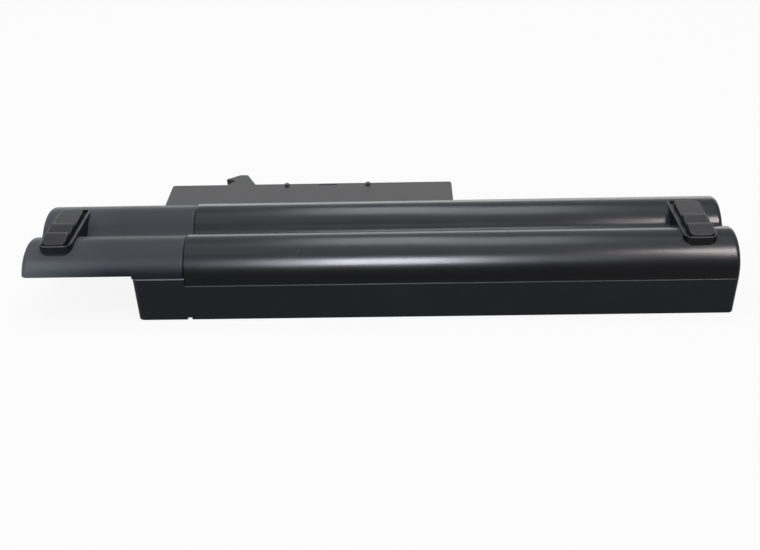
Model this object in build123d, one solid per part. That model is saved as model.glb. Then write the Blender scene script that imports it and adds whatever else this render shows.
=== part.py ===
from build123d import *
from math import atan2, cos, radians, sin, sqrt, tan
import os

# Extended laptop battery, modelled upside down as it lies on a table: the flat
# face is at z = 0 and the two rubber feet point up. X runs along the two rows of
# cells, +Y points to the connector tongue. Millimetres.

# Cells: six 18 x 65 cylinders in two rows of three
CELL_D = 18.3
CELL_L = 65.0
CELLS_PER_ROW = 3
CELL_GAP = 0.8
BUTTON_D = 6.6
BUTTON_H = 0.6
CAN_EDGE = 0.9
CRIMP_GROOVE_W = 1.2
CRIMP_GROOVE_DEPTH = 0.45
CRIMP_GROOVE_AT = 3.6
CELL_ROOM_NEGATIVE = 1.6
CELL_ROOM_POSITIVE = 2.7
CELL_CLEAR = 0.4
UNDER_CELL_ROOM = 5.15
WASHER_T = 0.25
WASHER_D = 16.4
WASHER_BORE = 7.6

# Moulded case
WALL = 1.2
END_WALL = 1.5
FLOOR = 1.4
END_R = 1.7
COVER_END_LEAN = 3.0
VALLEY_R = 3.0
BASE_EDGE = 0.3
RIM_EDGE = 0.3
SOFT_EDGE = 0.3
PARTING_DROP = 1.65
WELD_RIDGE_W = 0.4
WELD_RIDGE_H = 0.45
WELD_CLEAR = 0.05
BLOCK_LENGTH = 17.85
BLOCK_CORNER_R = 2.0
BLOCK_PARTING_RISE = 1.1
CRADLE_T = 1.2
CRADLE_RISE = 2.6
CRADLE_INSET = 13.0
CRADLE_PAST_AXIS = 4.6
SEAT_CLEAR = 0.1
STOP_W = 3.0
STOP_H = 4.0
NOTCH_W = 1.7
NOTCH_H = 1.0

# Wing that overhangs past the cells
WING_OVERHANG = 37.85
WING_SET_IN = 0.38
WING_CLEAR = 0.22
WING_RISE = 2.1
WING_END_R = 2.4
WING_END_LEAN = 7.0
WING_END_SWING = 1.6
WING_SEAM_R = 0.9
WING_FLOOR_T = 1.2
WING_RIBS = 2

# Feet: a moulded plinth across the two barrels with a toothed rubber pad
LEFT_FOOT_INSET = 12.25
RIGHT_FOOT_INSET = 13.35
PLINTH_W = 11.2
PLINTH_CORNER_R = 3.2
PLINTH_FRONT = 6.3
PLINTH_REAR = 22.0
PLINTH_FRONT_RISE = 0.95
PLINTH_TILT = 2.0
PLINTH_RIM = 0.9
PAD_W = 7.8
PAD_MARGIN = 1.8
PAD_SUNK = 0.6
PAD_LOW = 0.75
PAD_HIGH = 2.0
PAD_TEETH = 2
PAD_PITCH = 6.6
PAD_TAIL_RISE = 0.4
PAD_CLEAR = 0.1
PAD_CORNER_R = 1.5
PAD_EDGE_R = 0.3

# Connector tongue
TONGUE_SET_IN = 1.35
TONGUE_WIDTH = 109.6
TONGUE_REACH = 24.4
TONGUE_RISE = 0.4
TONGUE_THICK = 10.0
TONGUE_TOP_T = 1.4
TONGUE_CORNER_R = 1.0
TONGUE_PLATE_T = 1.2
PLATE_CLEAR = 0.1
HOOK_AT = 27.2
HOOK_ROOT_W = 10.7
HOOK_TIP_AT = 3.75
HOOK_TIP_W = 3.0
HOOK_REACH = 8.0
HOOK_BARB = 1.2
HOOK_BARB_REACH = 4.5
HOOK_NOTCH = 2.6
HOOK_NOTCH_REACH = 3.4
HOOK_THICK = 2.4
GUIDE_SPACING = 31.6
GUIDE_D = 1.7
GUIDE_H = 1.3
GUIDE_INSET = 2.6
KEY_L = 7.5
KEY_W = 0.7
KEY_INSET = 1.4
KEY_DEPTH = 0.7
WINDOW_H = 4.0
WINDOW_MARGIN = 4.0

# Connector and circuit board
CONNECTOR_AT = 61.2
CONNECTOR_W = 25.0
CONNECTOR_H = 5.2
CONNECTOR_DEPTH = 9.5
CONNECTOR_CLEAR = 0.15
BLADES = 7
BLADE_PITCH = 3.2
BLADE_T = 0.5
BLADE_H = 3.4
BLADE_SET_BACK = 1.0
BLADE_SLOT_W = 1.3
BLADE_SLOT_DEPTH = 6.5
BLADE_SLOT_H = 4.2
BLADE_TAIL = 2.2
BOARD_LENGTH = 78.0
BOARD_WIDTH = 17.5
BOARD_T = 1.0
BOARD_SET_OFF = 3.0
BOARD_RISE = 0.7
POST_D = 3.8
POST_PIN_D = 1.7
POST_PIN_OUT = 0.5
POST_INSET = 3.0
PIN_CLEAR = 0.1

# Parts on the board, in one row, placed from its ends or from the connector
CHIP_ROW = 6.3
CHIP_LIFT = 0.15
LEG_W = 0.35
LEG_T = 0.3
LEG_OUT = 0.9
LEG_ROOT = 0.1
GAUGE_AT = 4.0
GAUGE_L = 9.7
GAUGE_W = 4.4
GAUGE_H = 1.0
GAUGE_LEG_COUNT = 14
MOSFET_INSET = 19.0
MOSFET_STEP = 8.0
MOSFET_L = 4.9
MOSFET_W = 3.9
MOSFET_H = 1.4
MOSFET_LEG_COUNT = 4
FUSE_INSET = 9.0
FUSE_L = 4.0
FUSE_W = 3.4
FUSE_H = 1.4
FUSE_TERMINAL = 0.3
FUSE_TERMINAL_H = 0.4
RESISTOR_INSET = 21.0
RESISTOR_L = 6.4
RESISTOR_W = 3.2
RESISTOR_H = 0.5
RESISTOR_BRIDGE_L = 4.0
RESISTOR_BRIDGE_H = 0.8
CAPACITOR_COUNT = 5
CAPACITOR_INSET = 5.4
CAPACITOR_PITCH = 2.4
CAPACITOR_L = 1.2
CAPACITOR_W = 2.0
CAPACITOR_H = 1.1

# Nickel strips and insulated leads
STRIP_T = 0.2
STRIP_H = 7.0
STRIP_PAST_AXIS = 4.0
TAB_W = 3.0
TAB_AT = 1.0
POWER_LEAD_D = 1.5
SENSE_LEAD_D = 1.1
LEAD_CLEAR = 0.1
LEAD_BEND_R = 2.0
LEAD_ON_BOARD = 1.2
NEGATIVE_EXIT_INSET = 10.4
LEAD_EXIT_INSET = 3.0
LEAD_EXIT_STEP = 5.0
BEAD_D = 2.0
BEAD_L = 5.0
BEAD_LEAD_RUN = 3.0

# How far a cutting body runs past the face it cuts, and the reach of an edge search
OVERCUT = 1.0
NEAR = 0.01

# Worked-out sizes
cell_r = CELL_D / 2
barrel_r = cell_r + CELL_CLEAR + WALL
pitch = 2 * barrel_r
axis_z = FLOOR + UNDER_CELL_ROOM + cell_r
stack = CELLS_PER_ROW * CELL_L + (CELLS_PER_ROW - 1) * CELL_GAP
tray_length = 2 * END_WALL + CELL_ROOM_NEGATIVE + stack + CELL_ROOM_POSITIVE
length = tray_length + WING_OVERHANG
depth = 2 * barrel_r + pitch + TONGUE_REACH + HOOK_REACH
left_x = -length / 2
right_x = length / 2
block_x = left_x + WING_OVERHANG
seam_x = block_x + BLOCK_LENGTH
near_wall = -depth / 2
near_y = near_wall + barrel_r
far_y = near_y + pitch
mid_y = (near_y + far_y) / 2
far_wall = far_y + barrel_r
tongue_edge = far_wall + TONGUE_REACH
parting_z = axis_z - PARTING_DROP
block_parting_z = axis_z + BLOCK_PARTING_RISE
wing_z = axis_z + WING_RISE
wing_r = barrel_r - WING_SET_IN
wing_inner_r = cell_r + WING_CLEAR
wing_lean_run = (axis_z + wing_r - wing_z) * tan(radians(WING_END_LEAN))
wing_tip_y = near_y - sqrt(wing_r**2 - WING_RISE**2) + WING_END_R
wing_swing_run = (far_wall - wing_tip_y) * tan(radians(WING_END_SWING))
wing_inner_x = left_x + END_WALL + wing_lean_run + wing_swing_run
above_all = 2 * (axis_z + barrel_r)
plinth_front_y = near_y - PLINTH_FRONT
plinth_run = PLINTH_FRONT + PLINTH_REAR
plinth_z = axis_z + barrel_r + PLINTH_FRONT_RISE
left_foot_x = left_x + LEFT_FOOT_INSET
right_foot_x = right_x - RIGHT_FOOT_INSET
pad_run = plinth_run - 2 * PAD_MARGIN
pad_offset = (PLINTH_W - PAD_W) / 2 - PLINTH_RIM - PAD_CLEAR
tongue_z = block_parting_z + TONGUE_RISE
tongue_low = tongue_z - TONGUE_THICK
tongue_ceiling = tongue_z - TONGUE_TOP_T
tongue_left = block_x + TONGUE_SET_IN
tongue_right = tongue_left + TONGUE_WIDTH
connector_x = tongue_left + CONNECTOR_AT
connector_back = tongue_edge - CONNECTOR_DEPTH
plate_top = tongue_low + TONGUE_PLATE_T
board_left = connector_x - BOARD_LENGTH / 2
board_right = connector_x + BOARD_LENGTH / 2
board_z = plate_top + BOARD_RISE
board_top = board_z + BOARD_T
board_edge = far_wall + BOARD_SET_OFF
chip_row_y = board_edge + CHIP_ROW
blade_z = board_z + CONNECTOR_H / 2
window_left = board_left + WINDOW_MARGIN
window_right = board_right - WINDOW_MARGIN
first_cell_x = block_x + END_WALL + CELL_ROOM_NEGATIVE
cell_step = CELL_L + CELL_GAP
channel_wall = far_wall - WALL - LEAD_CLEAR
sense_z = board_top + LEAD_CLEAR + SENSE_LEAD_D / 2
power_z = sense_z - SENSE_LEAD_D / 2 - LEAD_CLEAR - POWER_LEAD_D / 2


def section_at(x):
    """Plane across the rows at x, with Y and Z as its own two axes."""
    return Plane(origin=(x, 0, 0), x_dir=(0, 1, 0), z_dir=(1, 0, 0))


def block(x0, x1, y0, y1, z0, z1):
    """A box between two corners."""
    return Pos((x0 + x1) / 2, (y0 + y1) / 2, (z0 + z1) / 2) * Box(x1 - x0, y1 - y0, z1 - z0)


def standing_block(x, y, long, wide, z0, z1):
    """A box centred on a place in plan, between two heights."""
    return block(x - long / 2, x + long / 2, y - wide / 2, y + wide / 2, z0, z1)


def post(x, y, diameter, z0, z1):
    """An upright round post between two heights."""
    return Pos(x, y, (z0 + z1) / 2) * Cylinder(diameter / 2, z1 - z0)


def end_edges(solid, side):
    """The edges of a solid's left or right end face, apart from its lower edge."""
    low = solid.bounding_box().min.Z
    end = solid.faces().sort_by(Axis.X)[0 if side < 0 else -1]
    return [e for e in end.edges() if e.bounding_box().max.Z > low + NEAR]


def barrel_face(radius, low):
    """Section of the two half-round barrels and the valley between them, cut level at low."""
    valley_r = barrel_r + VALLEY_R - radius
    valley_rise = sqrt((barrel_r + VALLEY_R) ** 2 - (pitch / 2) ** 2)
    lean = atan2(valley_rise, pitch / 2)
    rise = max(low - axis_z, 0)
    start = radians(180) - atan2(rise, sqrt(radius**2 - rise**2))
    middle = (start + lean) / 2

    def near(angle):
        return (near_y + radius * cos(angle), axis_z + radius * sin(angle))

    def far(angle):
        return (far_y - radius * cos(angle), axis_z + radius * sin(angle))

    outline = [
        ThreePointArc(near(start), near(middle), near(lean)),
        ThreePointArc(near(lean), (mid_y, axis_z + valley_rise - valley_r), far(lean)),
        ThreePointArc(far(lean), far(middle), far(start)),
    ]
    foot_near = (near(start)[0], low)
    foot_far = (far(start)[0], low)
    if low < axis_z:
        outline.append(Line(foot_near, near(start)))
        outline.append(Line(far(start), foot_far))
    outline.append(Line(foot_far, foot_near))
    return make_face(outline)


def barrel_bar(x0, x1, radius, low):
    """The double-barrel section run from x0 to x1."""
    return extrude(section_at(x0) * barrel_face(radius, low), x1 - x0)


def beyond_end(x, y, z, side, lean, swing):
    """Everything past an end face that leans in upwards and towards the far side, in degrees."""
    tip = radians(lean)
    turn = radians(swing)
    out = (side * cos(turn) * cos(tip), sin(turn) * cos(tip), sin(tip))
    face = Plane(origin=(x, y, z), z_dir=out)
    return extrude(face * Rectangle(4 * above_all, 4 * above_all), above_all)


# Feet

def foot_plane(x):
    """Tilted plane of a foot's rim, with its origin at the middle of the front edge."""
    tilt = radians(PLINTH_TILT)
    return Plane(origin=(x, plinth_front_y, plinth_z), x_dir=(1, 0, 0), z_dir=(0, sin(tilt), cos(tilt)))


def plinth(x):
    """Moulded plinth across the valley, upright sides, cut to the tilted rim plane."""
    outline = RectangleRounded(PLINTH_W, plinth_run, PLINTH_CORNER_R)
    base = Plane(origin=(x, plinth_front_y + plinth_run / 2, block_parting_z))
    body = extrude(base * outline, plinth_z - block_parting_z)
    above = Pos(0, plinth_run / 2) * Rectangle(2 * PLINTH_W, 2 * plinth_run)
    return body - extrude(foot_plane(x) * above, above_all)


def pad_recess(x):
    """Pocket in the plinth that the pad sits in, with a groove left on the inner side."""
    plan = RectangleRounded(PLINTH_W - 2 * PLINTH_RIM, plinth_run - 2 * PLINTH_RIM, PAD_CORNER_R)
    return extrude(foot_plane(x).offset(-PAD_SUNK) * Pos(0, plinth_run / 2) * plan, above_all)


def foot_pad(x):
    """Rubber pad with teeth that are high at the back and fall to the front, and a long low tail."""
    seat = foot_plane(x).offset(-PAD_SUNK)
    plan = Pos(0, plinth_run / 2) * RectangleRounded(PAD_W, pad_run, PAD_CORNER_R)
    body = extrude(seat * plan, PAD_HIGH)
    profile = [(PAD_MARGIN, PAD_LOW)]
    for i in range(PAD_TEETH):
        back = PAD_MARGIN + (i + 1) * PAD_PITCH
        profile += [(back, PAD_HIGH), (back, PAD_LOW)]
    tail = (plinth_run - PAD_MARGIN, PAD_LOW + PAD_TAIL_RISE)
    over = [tail, (tail[0], 2 * PAD_HIGH), (PAD_MARGIN, 2 * PAD_HIGH)]
    side = Plane(origin=seat.origin, x_dir=seat.y_dir, z_dir=seat.x_dir)
    body -= extrude(side * make_face(Polyline(*profile, *over, close=True)), PAD_W, both=True)
    high = [e for e in body.edges() if seat.to_local_coords(e.center()).Z > PAD_HIGH - NEAR]
    return fillet(high, PAD_EDGE_R)


# Covers

def cell_cover():
    """Glossy cover over both rows of cells, with the right foot's plinth."""
    outer = barrel_bar(seam_x, right_x, barrel_r, parting_z)
    outer -= beyond_end(right_x, mid_y, parting_z, 1, COVER_END_LEAN, 0)
    outer = fillet(end_edges(outer, 1), END_R)
    outer = chamfer(end_edges(outer, -1), SOFT_EDGE)
    inner = barrel_bar(seam_x - OVERCUT, right_x - END_WALL, cell_r + CELL_CLEAR, parting_z - OVERCUT)
    body = outer + plinth(right_foot_x) - inner - pad_recess(right_foot_x)
    return body - weld_ridge(WELD_CLEAR)


def wing_cover():
    """Matt cover over the block and out along the wing, with the left foot's plinth."""
    outer = barrel_bar(left_x - OVERCUT, seam_x, wing_r, block_parting_z)
    outer -= beyond_end(left_x, wing_tip_y, wing_z, -1, WING_END_LEAN, WING_END_SWING)
    outer = fillet(end_edges(outer, -1), WING_END_R)
    outer = fillet(end_edges(outer, 1), WING_SEAM_R)
    low = block_parting_z - OVERCUT
    chamber = barrel_bar(block_x + END_WALL, seam_x + OVERCUT, wing_inner_r, low)
    hollow = barrel_bar(wing_inner_x, block_x, wing_inner_r, low)
    body = outer + plinth(left_foot_x) - chamber - hollow - pad_recess(left_foot_x)
    body -= block(left_x - OVERCUT, block_x, near_wall - OVERCUT, far_wall + OVERCUT, low, wing_z)
    rib_step = (WING_OVERHANG - END_WALL) / (WING_RIBS + 1)
    rib_r = (wing_inner_r + wing_r) / 2
    for i in range(WING_RIBS):
        x = block_x - (i + 1) * rib_step
        body += barrel_bar(x - CRADLE_T / 2, x + CRADLE_T / 2, rib_r, wing_z + WING_FLOOR_T)
    return body


def wing_floor():
    """Flat plate that closes the underside of the wing, held up against its ribs."""
    top = wing_z + WING_FLOOR_T
    half = sqrt(wing_inner_r**2 - (top - axis_z) ** 2) - PLATE_CLEAR
    x0 = wing_inner_x + PLATE_CLEAR
    return block(x0, block_x - PLATE_CLEAR, near_y - half, far_y + half, wing_z, top)


# Base tray and tongue

def tray_plan(inset, x0):
    """Plan of the tray from x0 to the right end, set in by inset."""
    width = far_wall - near_wall - 2 * inset
    x1 = right_x - inset
    plan = Pos((x0 + x1) / 2, mid_y) * Rectangle(x1 - x0, width)
    return fillet(plan.vertices().group_by(Axis.X)[-1], END_R - inset)


def weld_ridge(grow):
    """Low ridge along the middle of the tray's rim that the cover's groove fits over."""
    inset = (WALL - WELD_RIDGE_W) / 2
    ring = tray_plan(inset - grow, seam_x) - tray_plan(inset + WELD_RIDGE_W + grow, seam_x - OVERCUT)
    return extrude(Plane.XY.offset(parting_z) * ring, WELD_RIDGE_H + grow)


def tray_shell():
    """Floor and upright walls under the cells, higher at the block than along the cells."""
    plan = fillet(tray_plan(0, block_x).vertices().group_by(Axis.X)[0], BLOCK_CORNER_R)
    outer = extrude(plan, block_parting_z)
    outer = chamfer(outer.edges().group_by(Axis.Z)[0], BASE_EDGE)
    outer -= block(
        seam_x, right_x + OVERCUT, near_wall - OVERCUT, far_wall + OVERCUT, parting_z, above_all
    )
    rims = [e for e in outer.edges() if e.bounding_box().min.Z > parting_z - NEAR]
    outer = chamfer([e for e in rims if abs(e.center().X - seam_x) > NEAR], RIM_EDGE)
    inner = block(
        block_x + END_WALL, right_x - END_WALL, near_wall + WALL, far_wall - WALL, FLOOR, above_all
    )
    inner = fillet(inner.edges().filter_by(Axis.Z).group_by(Axis.X)[-1], END_R - WALL)
    return outer - inner


def cradles():
    """Cross ribs with two round saddles, two ribs under each cell."""
    top = axis_z - cell_r + CRADLE_RISE
    ribs = []
    for i in range(CELLS_PER_ROW):
        for along in (CRADLE_INSET, CELL_L - CRADLE_INSET):
            x0 = first_cell_x + i * cell_step + along - CRADLE_T / 2
            x1 = x0 + CRADLE_T
            rib = block(x0, x1, near_wall + WALL / 2, far_y + CRADLE_PAST_AXIS, FLOOR / 2, top)
            for y in (near_y, far_y):
                rib -= Pos(x0, y, axis_z) * Rot(0, 90, 0) * Cylinder(cell_r + SEAT_CLEAR, 4 * CRADLE_T)
            ribs.append(rib)
    return ribs


def cell_stops():
    """Short ribs on the end walls that keep the rows from sliding."""
    z1 = axis_z - STRIP_H / 2 - SEAT_CLEAR
    z0 = z1 - STOP_H
    first = first_cell_x - SEAT_CLEAR
    last = first_cell_x + stack - BUTTON_H + WASHER_T + SEAT_CLEAR
    stops = []
    for y in (near_y, far_y):
        y1 = y - TAB_AT
        stops.append(block(block_x + END_WALL / 2, first, y1 - STOP_W, y1, z0, z1))
        stops.append(block(last, right_x - END_WALL / 2, y1 - STOP_W, y1, z0, z1))
    return stops


def hook():
    """Latch hook on the tongue's far edge, barbed towards the wing."""
    x0 = tongue_left + HOOK_AT - HOOK_ROOT_W / 2
    tip = x0 + HOOK_TIP_AT
    root = tongue_edge - WALL / 2
    outline = Polyline(
        (x0, root),
        (x0, tongue_edge),
        (x0 + HOOK_NOTCH, tongue_edge + HOOK_NOTCH_REACH),
        (x0 - HOOK_BARB, tongue_edge + HOOK_BARB_REACH),
        (tip, tongue_edge + HOOK_REACH),
        (tip + HOOK_TIP_W, tongue_edge + HOOK_REACH),
        (x0 + HOOK_ROOT_W, tongue_edge),
        (x0 + HOOK_ROOT_W, root),
        close=True,
    )
    body = extrude(Plane.XY.offset(tongue_z - HOOK_THICK) * make_face(outline), HOOK_THICK)
    return fillet(body.edges().filter_by(Axis.Z).group_by(Axis.Y)[-1], TONGUE_CORNER_R)


def tongue_shell():
    """Flat tongue behind the far row, open below, with posts for the circuit board."""
    plan = Pos((tongue_left + tongue_right) / 2, (far_wall + tongue_edge) / 2)
    plan *= Rectangle(TONGUE_WIDTH, TONGUE_REACH)
    plan = fillet(plan.vertices().group_by(Axis.Y)[-1], TONGUE_CORNER_R)
    body = extrude(Plane.XY.offset(tongue_low) * plan, TONGUE_THICK)
    rim = [e for e in body.edges().group_by(Axis.Z)[-1] if e.center().Y > far_wall + NEAR]
    body = chamfer(rim, SOFT_EDGE) + hook()
    x0 = tongue_left + WALL
    x1 = tongue_right - WALL
    body -= block(x0, x1, far_wall, tongue_edge - WALL, tongue_low - OVERCUT, tongue_ceiling)
    body -= connector_block(CONNECTOR_CLEAR, OVERCUT)
    key_y = tongue_edge - KEY_INSET
    body -= standing_block(connector_x, key_y, KEY_L, KEY_W, tongue_z - KEY_DEPTH, above_all)
    for x in (connector_x - GUIDE_SPACING / 2, connector_x + GUIDE_SPACING / 2):
        body += post(x, tongue_edge - GUIDE_INSET, GUIDE_D, tongue_ceiling, tongue_z + GUIDE_H)
    for x, y in post_places():
        body += post(x, y, POST_D, board_top, tongue_z - TONGUE_TOP_T / 2)
        body += post(x, y, POST_PIN_D, board_z - POST_PIN_OUT, tongue_ceiling)
    return body


def base_tray():
    """One moulding: tray, cell cradles, block, tongue and latch hook."""
    body = tray_shell() + cradles() + cell_stops() + tongue_shell() + weld_ridge(0)
    y0 = far_wall - WALL - OVERCUT
    body -= block(window_left, window_right, y0, far_wall + OVERCUT, plate_top, plate_top + WINDOW_H)
    return body - Pos(seam_x, near_wall, 0) * Box(NOTCH_W, 4 * WALL, 2 * NOTCH_H)


def tongue_plate():
    """Flat plate that closes the tongue from below."""
    inset = WALL + PLATE_CLEAR
    y0 = far_wall + PLATE_CLEAR
    return block(tongue_left + inset, tongue_right - inset, y0, tongue_edge - inset, tongue_low, plate_top)


# Circuit board and connector

def post_places():
    """Centres of the four posts that carry the board."""
    xs = (board_left + POST_INSET, board_right - POST_INSET)
    ys = (board_edge + POST_INSET, board_edge + BOARD_WIDTH - POST_INSET)
    return [(x, y) for x in xs for y in ys]


def connector_block(grow, out):
    """Outer box of the connector, flush with the tongue's far edge or run out past it."""
    wide = CONNECTOR_W + 2 * grow
    z0 = board_z - grow
    z1 = board_z + CONNECTOR_H + grow
    x0 = connector_x - wide / 2
    return block(x0, x0 + wide, connector_back - grow, tongue_edge + out, z0, z1)


def circuit_board():
    """Protection board with a cut-out for the connector and holes for the posts' pins."""
    body = block(board_left, board_right, board_edge, board_edge + BOARD_WIDTH, board_z, board_top)
    body -= connector_block(CONNECTOR_CLEAR, 0)
    for x, y in post_places():
        body -= post(x, y, POST_PIN_D + 2 * PIN_CLEAR, board_z - OVERCUT, board_top + OVERCUT)
    return body


def blade_places():
    """Middle of each contact blade along X."""
    first = connector_x - (BLADES - 1) * BLADE_PITCH / 2
    return [first + i * BLADE_PITCH for i in range(BLADES)]


def contact_blades():
    """Flat blades in the connector's slots, each with a tail on the board."""
    blades = []
    for x in blade_places():
        x0 = x - BLADE_T / 2
        x1 = x + BLADE_T / 2
        z1 = blade_z + BLADE_H / 2
        blade = block(x0, x1, connector_back, tongue_edge - BLADE_SET_BACK, z1 - BLADE_H, z1)
        blades.append(blade + block(x0, x1, connector_back - BLADE_TAIL, connector_back, board_top, blade_z))
    return blades


def connector_housing():
    """Connector body with one slot for each blade."""
    body = connector_block(0, 0)
    z1 = blade_z + BLADE_SLOT_H / 2
    y0 = tongue_edge - BLADE_SLOT_DEPTH
    for x in blade_places():
        x0 = x - BLADE_SLOT_W / 2
        body -= block(x0, x0 + BLADE_SLOT_W, y0, tongue_edge + OVERCUT, z1 - BLADE_SLOT_H, z1)
    return body - contact_blades()


def gull_wing_chip(x, long, wide, high, legs):
    """Moulded chip with a row of legs along each long side, standing on the board."""
    low = board_top + CHIP_LIFT
    body = standing_block(x, chip_row_y, long, wide, low, low + high)
    step = long / legs
    reach = LEG_OUT + LEG_ROOT
    for i in range(legs):
        leg_x = x - long / 2 + (i + 0.5) * step
        for side in (-1, 1):
            leg_y = chip_row_y + side * (wide / 2 + LEG_OUT - reach / 2)
            body += standing_block(leg_x, leg_y, LEG_W, reach, board_top, board_top + LEG_T)
    return body


def gauge_chip():
    """Fuel gauge chip that counts the charge."""
    return gull_wing_chip(connector_x + GAUGE_AT, GAUGE_L, GAUGE_W, GAUGE_H, GAUGE_LEG_COUNT)


def mosfet(index):
    """Charge or discharge switch."""
    x = board_left + MOSFET_INSET + index * MOSFET_STEP
    return gull_wing_chip(x, MOSFET_L, MOSFET_W, MOSFET_H, MOSFET_LEG_COUNT)


def cutoff_fuse():
    """Three-terminal fuse that the gauge can blow, on a flat terminal plate."""
    x = board_left + FUSE_INSET
    low = board_top + FUSE_TERMINAL_H
    body = standing_block(x, chip_row_y, FUSE_L, FUSE_W, low, board_top + FUSE_H)
    wide = FUSE_L + 2 * FUSE_TERMINAL
    return body + standing_block(x, chip_row_y, wide, FUSE_W - 2 * FUSE_TERMINAL, board_top, low)


def sense_resistor():
    """Flat low-ohm resistor in the negative line, raised in the middle."""
    x = board_right - RESISTOR_INSET
    body = standing_block(x, chip_row_y, RESISTOR_L, RESISTOR_W, board_top, board_top + RESISTOR_H)
    top = board_top + RESISTOR_BRIDGE_H
    return body + standing_block(x, chip_row_y, RESISTOR_BRIDGE_L, RESISTOR_W, board_top, top)


def board_capacitors():
    """Small ceramic capacitors in a row at the board's right end."""
    caps = []
    for i in range(CAPACITOR_COUNT):
        x = board_right - CAPACITOR_INSET - i * CAPACITOR_PITCH
        top = board_top + CAPACITOR_H
        caps.append(standing_block(x, chip_row_y, CAPACITOR_L, CAPACITOR_W, board_top, top))
    return caps


# Cells and strips

def cell_places():
    """Negative end of each cell: column along X, then near and far row."""
    return [(first_cell_x + i * cell_step, y) for i in range(CELLS_PER_ROW) for y in (near_y, far_y)]


def cell(x, y):
    """Crimped steel can with a rolled groove and a raised positive button."""
    shoulder = CELL_L - BUTTON_H
    groove = shoulder - CRIMP_GROOVE_AT
    half = CRIMP_GROOVE_W / 2
    outline = Polyline(
        (0, 0),
        (cell_r - CAN_EDGE, 0),
        (cell_r, CAN_EDGE),
        (cell_r, groove - half),
        (cell_r - CRIMP_GROOVE_DEPTH, groove),
        (cell_r, groove + half),
        (cell_r, shoulder - CAN_EDGE),
        (cell_r - CAN_EDGE, shoulder),
        (BUTTON_D / 2, shoulder),
        (BUTTON_D / 2, CELL_L),
        (0, CELL_L),
        close=True,
    )
    section = Plane(origin=(x, y, axis_z), x_dir=(0, 0, 1), z_dir=(0, 1, 0))
    return revolve(section * make_face(outline), Axis((x, y, axis_z), (1, 0, 0)))


def washer(x, y):
    """Paper ring on the cell's shoulder round the button."""
    face = Circle(WASHER_D / 2) - Circle(WASHER_BORE / 2)
    return extrude(section_at(x + CELL_L - BUTTON_H) * Pos(y, axis_z) * face, WASHER_T)


def leaf_face():
    """Section of a nickel strip across both rows."""
    return Pos(mid_y, axis_z) * Rectangle(pitch + 2 * STRIP_PAST_AXIS, STRIP_H)


def tabbed_leaf(x, lead_z, lead_d):
    """Nickel strip with a tab down to the lead channel and a foot along to the lead."""
    y0 = far_y + TAB_AT
    drop = axis_z - lead_z
    reach = channel_wall - y0
    face = leaf_face() + Pos(y0 + TAB_W / 2, axis_z - drop / 2) * Rectangle(TAB_W, drop)
    face += Pos(y0 + reach / 2, lead_z) * Rectangle(reach, lead_d)
    return extrude(section_at(x) * face, STRIP_T)


def end_strip(x):
    """Strip across the ends of both rows, with a power lead."""
    return tabbed_leaf(x, power_z, POWER_LEAD_D)


def folded_strip(x):
    """Strip folded between two columns: a leaf on the buttons, a leaf on the next cans."""
    z0 = axis_z - STRIP_H / 2
    body = extrude(section_at(x) * leaf_face(), STRIP_T)
    body += tabbed_leaf(x + CELL_GAP - STRIP_T, sense_z, SENSE_LEAD_D)
    fold = (near_y - STRIP_PAST_AXIS, far_y - STRIP_PAST_AXIS)
    return body + block(x, x + CELL_GAP, *fold, z0, z0 + STRIP_T)


# Leads

def lead(diameter, x, y, z, exit_x, end_y):
    """Insulated lead along the channel from x, with one round bend out through the window."""
    path = FilletPolyline((x, y, z), (exit_x, y, z), (exit_x, end_y, z), radius=LEAD_BEND_R)
    start = Plane(origin=path @ 0, z_dir=path % 0)
    return sweep(start * Circle(diameter / 2), path=path)


def power_lead(x, exit_x):
    """Thick lead that meets the board's edge."""
    return lead(POWER_LEAD_D, x, channel_wall - POWER_LEAD_D / 2, power_z, exit_x, board_edge)


def sense_lead(x, exit_x):
    """Thin lead over the power leads that ends on top of the board."""
    y = channel_wall - SENSE_LEAD_D / 2
    return lead(SENSE_LEAD_D, x, y, sense_z, exit_x, board_edge + LEAD_ON_BOARD)


# The right-hand leads leave the window side by side, the bead's own lead first
high_tap_exit = window_right - LEAD_EXIT_INSET
positive_exit = high_tap_exit - LEAD_EXIT_STEP
low_tap_exit = positive_exit - LEAD_EXIT_STEP
bead_exit = low_tap_exit - LEAD_EXIT_STEP
bead_x = bead_exit - BEAD_LEAD_RUN - BEAD_L / 2
bead_z = plate_top + LEAD_CLEAR + SENSE_LEAD_D / 2
bead_y = far_y + sqrt((cell_r + SEAT_CLEAR + BEAD_D / 2) ** 2 - (axis_z - bead_z) ** 2)


def thermistor():
    """Temperature bead in a short sleeve against the far row's middle cell, below its axis."""
    return Pos(bead_x, bead_y, bead_z) * Rot(0, 90, 0) * Cylinder(BEAD_D / 2, BEAD_L)


def thermistor_lead():
    """The bead's pair of leads in one sleeve, out through the window to the board's edge."""
    return lead(SENSE_LEAD_D, bead_x + BEAD_L / 2, bead_y, bead_z, bead_exit, board_edge)


# Put together

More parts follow.
